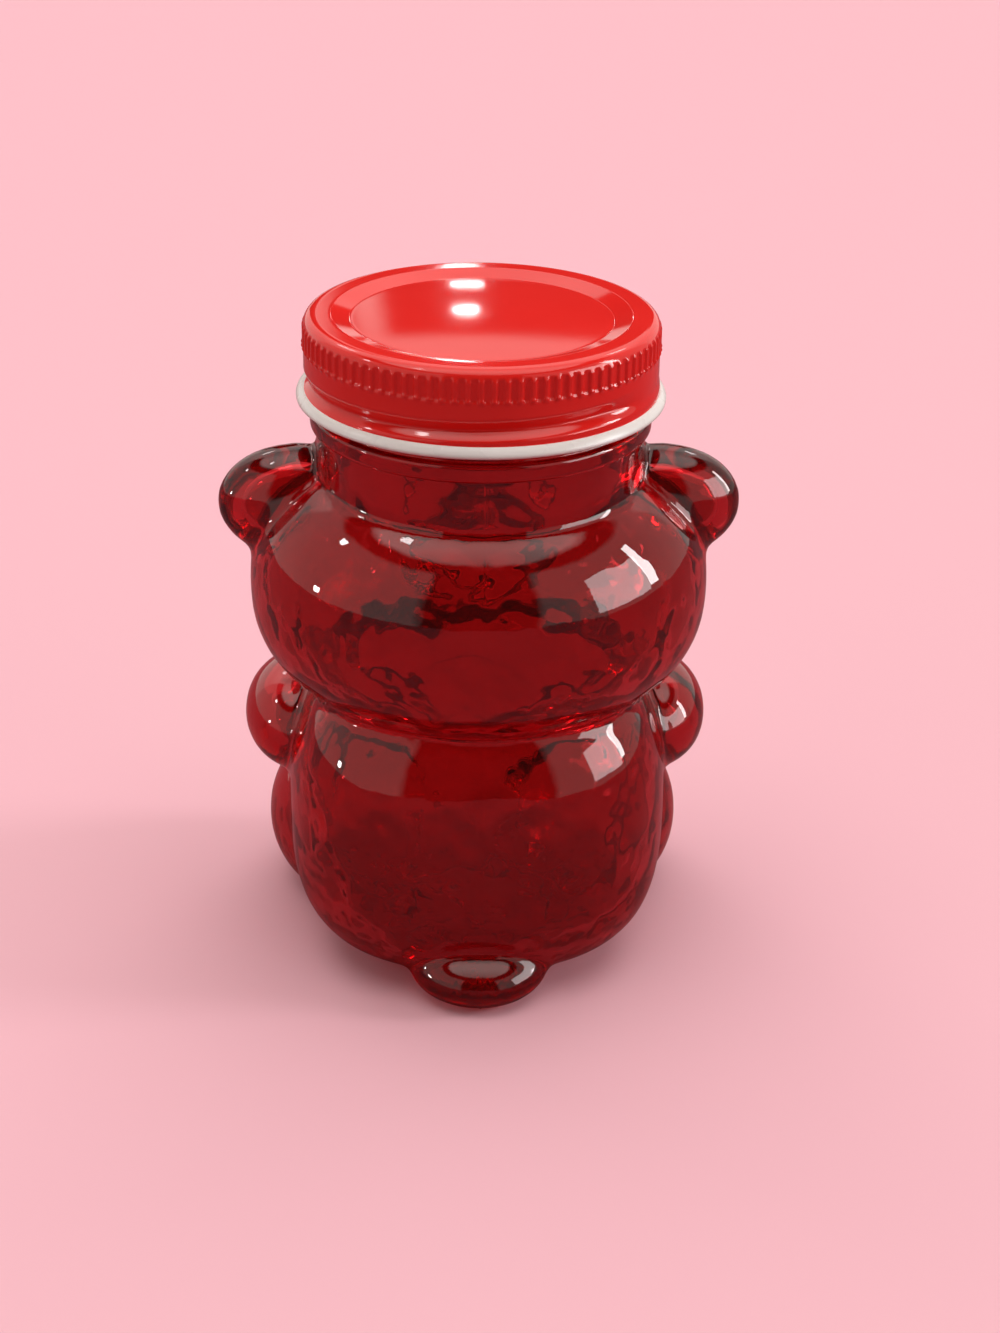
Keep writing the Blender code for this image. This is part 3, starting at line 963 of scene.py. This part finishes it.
def make_world():
    """The pink of the floor for the camera, and a bright room with a dark doorway for all else."""
    world = bpy.data.worlds.new("studio")
    bpy.context.scene.world = world
    world.use_nodes = True
    world.node_tree.nodes.clear()
    nodes = Nodes(world.node_tree)
    split = nodes.node("ShaderNodeSeparateXYZ")
    nodes.join(nodes.node("ShaderNodeTexCoord").outputs["Generated"], split.inputs["Vector"])
    x, y, z = split.outputs
    squares = nodes.maths("ADD", nodes.maths("MULTIPLY", x, x), nodes.maths("MULTIPLY", y, y))
    level = nodes.maths("SQRT", squares)
    forward = nodes.maths("DIVIDE", y, nodes.maths("ADD", level, 0.0001))
    sideways = nodes.maths("DIVIDE", x, nodes.maths("ADD", level, 0.0001))

    def past(value, degrees, function, soft=0.02):
        """1 above an angle and 0 below it."""
        edge = function(math.radians(degrees))
        return nodes.span(value, 0.0, 1.0, edge - soft, edge + soft)

    def inverse(value):
        return nodes.maths("SUBTRACT", 1.0, value)

    def product(*values):
        found = values[0]
        for value in values[1:]:
            found = nodes.maths("MULTIPLY", found, value)
        return found

    right = nodes.span(x, 1.0, 0.0, -WALL_BLEND, WALL_BLEND)
    wall = nodes.span(right, LEFT_WALL, RIGHT_WALL)
    wall = product(wall, inverse(past(forward, WALL_GAP, math.cos)), inverse(past(z, WALL_TOP, math.sin)))
    beyond = inverse(past(forward, WALL_END, math.cos))
    rise = math.sin(math.radians(FAR_WALL_RISE))
    full = math.sin(math.radians(FAR_WALL_FULL))
    far_wall = nodes.span(z, FAR_WALL, FAR_WALL_HIGH, rise, full)
    bright = nodes.maths("ADD", product(wall, inverse(beyond)), product(beyond, far_wall))
    ceiling = past(z, CEILING_EDGE, math.sin)
    overhead = nodes.span(y, CEILING_FAR, CEILING_TOP, *CEILING_RISE)
    overhead = product(overhead, nodes.span(y, 1.0, CEILING_NEAR / CEILING_TOP, *CEILING_FALL))
    bright = nodes.maths("ADD", product(bright, inverse(ceiling)), product(ceiling, overhead))
    for left, end, low, top in (
        (DOORWAY_LEFT, DOORWAY_RIGHT, DOORWAY_LOW, DOORWAY_TOP),
        (ALCOVE_LEFT, ALCOVE_RIGHT, ALCOVE_LOW, ALCOVE_TOP),
    ):
        dark = product(
            past(z, low, math.sin),
            inverse(past(z, top, math.sin, 0.008)),
            inverse(past(sideways, left, math.sin, 0.006)),
            past(sideways, end, math.sin, 0.006),
            inverse(past(forward, 90, math.cos)),
        )
        bright = product(bright, inverse(dark))
    bright = nodes.maths("MAXIMUM", bright, UNLIT)
    path = nodes.node("ShaderNodeLightPath")
    behind_glass = nodes.maths("MULTIPLY", path.outputs["Is Transmission Ray"], ROOM_THROUGH)
    bright = nodes.maths("MAXIMUM", bright, behind_glass)
    lit = nodes.node("ShaderNodeVectorMath", operation="SCALE")
    lit.inputs[0].default_value = ROOM_WHITE
    nodes.join(bright, lit.inputs["Scale"])
    colour = nodes.mix(path.outputs["Is Camera Ray"], lit.outputs["Vector"], FLOOR_PINK)
    background = nodes.node("ShaderNodeBackground")
    nodes.join(colour, background.inputs["Color"])
    output = nodes.node("ShaderNodeOutputWorld")
    nodes.join(background.outputs["Background"], output.inputs["Surface"])


def from_above(azimuth, elevation):
    """A direction, azimuth 0 along +Y and 90 along +X, in degrees."""
    a = math.radians(azimuth)
    e = math.radians(elevation)
    return Vector((math.sin(a) * math.cos(e), math.cos(a) * math.cos(e), math.sin(e)))


# Lamps and windows as glass and gloss mirror them: azimuth and elevation of the middle, half angles
# across and up, and brightness
SOFT_BOXES = {
    "right_window": (-71, 15.5, 16, 14, 4.9),
    "right_pane": (-90, 20, 3.0, 16, 15.0),
    "left_lamp_low": (82, 4, 2.0, 2.0, 40.0),
    "left_lamp_high": (92, 40, 2.0, 2.0, 25.0),
    "left_lamp_top": (72, 65, 2.0, 2.0, 14.0),
    "downlight_left": (150, 42, 3.0, 3.0, 6.0),
    "downlight_right": (214, 42, 3.0, 3.0, 6.0),
    "far_lamp_high": (181.4, 19.1, 0.45, 0.5, 25.0),
    "far_lamp_low": (181.45, 14.65, 0.6, 0.25, 25.0),
}
BOX_DISTANCE = 1.7
BOX_AIM = Vector((0, 0, 0.08))

# Daylight on matt surfaces: strength, angle across, and azimuth and elevation
DAYLIGHT = 0.95
DAYLIGHT_WIDTH = math.radians(14)
DAYLIGHT_FROM = (-88, 20)


def make_soft_box(name, azimuth, elevation, half_across, half_up, brightness):
    lamp = bpy.data.lights.new(name, "AREA")
    lamp.shape = "RECTANGLE"
    distance = BOX_DISTANCE
    lamp.size = 2 * distance * math.tan(math.radians(half_across))
    lamp.size_y = 2 * distance * math.tan(math.radians(half_up))
    lamp.energy = math.pi * lamp.size * lamp.size_y * brightness
    made = bpy.data.objects.new(name, lamp)
    bpy.context.scene.collection.objects.link(made)
    towards = from_above(azimuth, elevation)
    made.location = BOX_AIM + towards * distance
    made.rotation_mode = "QUATERNION"
    made.rotation_quaternion = (-towards).to_track_quat("-Z", "Y")
    made.visible_camera = False
    made.visible_diffuse = False


def make_daylight():
    """The light from the right that falls on matt surfaces, as even on the far floor as on the near."""
    lamp = bpy.data.lights.new("daylight", "SUN")
    lamp.energy = DAYLIGHT
    lamp.angle = DAYLIGHT_WIDTH
    made = bpy.data.objects.new("daylight", lamp)
    bpy.context.scene.collection.objects.link(made)
    made.rotation_mode = "QUATERNION"
    made.rotation_quaternion = (-from_above(*DAYLIGHT_FROM)).to_track_quat("-Z", "Y")
    made.visible_glossy = False
    made.visible_transmission = False


def make_camera():
    camera = bpy.data.cameras.new("camera")
    camera.sensor_fit = "AUTO"
    camera.sensor_width = SENSOR_MM
    camera.lens = LENS_MM
    camera.clip_start = 0.01
    made = bpy.data.objects.new("camera", camera)
    bpy.context.scene.collection.objects.link(made)
    level = CAMERA_DISTANCE * math.cos(CAMERA_ELEVATION)
    rise = CAMERA_DISTANCE * math.sin(CAMERA_ELEVATION)
    made.location = (level * math.sin(CAMERA_TURN), level * math.cos(CAMERA_TURN), LID_TOP + rise)
    towards = Vector(CAMERA_AIM) - made.location
    made.rotation_mode = "QUATERNION"
    made.rotation_quaternion = towards.to_track_quat("-Z", "Y") @ Quaternion((0, 0, 1), CAMERA_ROLL)
    bpy.context.scene.camera = made


def shade(made, angle):
    made.data.shade_smooth()
    made.data.set_sharp_from_angle(angle=math.radians(angle))


def main():
    make_camera()
    make_floor()
    make_world()
    for name, settings in SOFT_BOXES.items():
        make_soft_box(name, *settings)
    make_daylight()
    bpy.context.scene.view_settings.view_transform = "Standard"
    bpy.context.scene.cycles.max_bounces = LIGHT_PATH
    bpy.context.scene.cycles.glossy_bounces = LIGHT_PATH
    bpy.context.scene.cycles.transmission_bounces = LIGHT_PATH

    jar = make_jar()
    shade(jar, JAR_SHARP)
    jar.data.materials.clear()
    jar.data.materials.append(ruby_glass())
    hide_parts("glass_jar")
    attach(jar, "jar")

    lid, rows_outside = make_lid()
    shade(lid, LID_SHARP)
    lid.data.materials.append(lid_enamel())
    lid.data.materials.append(lid_lining())
    # Enamel down the outside and lining on the rest; the last two fans close the middle, outside and inside
    outside_faces = (rows_outside - 1) * LID_AROUND
    index = np.zeros(len(lid.data.polygons), dtype=np.int32)
    index[outside_faces:] = 1
    index[-2 * LID_AROUND : -LID_AROUND] = 0
    lid.data.polygons.foreach_set("material_index", index)
    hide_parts("lid_shell")
    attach(lid, "lid")

    seal = make_seal()
    shade(seal, SEAL_SHARP)
    seal.data.materials.append(seal_compound())
    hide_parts("lid_seal")
    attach(seal, "seal_ring")


main()
